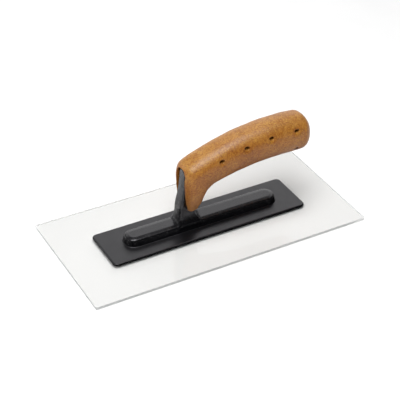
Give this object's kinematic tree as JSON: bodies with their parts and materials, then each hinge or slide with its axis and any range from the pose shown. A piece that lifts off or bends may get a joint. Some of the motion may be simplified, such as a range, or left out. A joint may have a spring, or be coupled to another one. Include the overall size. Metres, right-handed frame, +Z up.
{
  "type": "plastering smoothing trowel",
  "caption": "Flat hand trowel with a clear sheet blade, a black moulded mount with a rib and T-shaped neck, and a hooked cork-composite grip.",
  "frame": {"origin": "centre of the blade's bottom (working) face", "axes": "+X along the blade's long axis towards the rear end of the grip, +Y across the blade, +Z up from the working face"},
  "size_m": [0.28, 0.13, 0.0956],
  "materials": {
    "clear_sheet": "polished clear sheet with saw-cut edges",
    "adhesive": "thin black bonding layer",
    "black_moulding": "semi-matt fine-grained moulding",
    "core_plastic": "plain moulding",
    "cork_composite": "fine granular cork composite with a soft sheen",
    "screw_steel": "zinc-plated steel"
  },
  "bodies": {
    "root": {"blade": "clear_sheet", "adhesive_film": "adhesive", "mount": "black_moulding", "grip_core": "core_plastic", "grip": "cork_composite", "screw_washer": "screw_steel", "handle_screw": "screw_steel"}
  },
  "joints": []
}
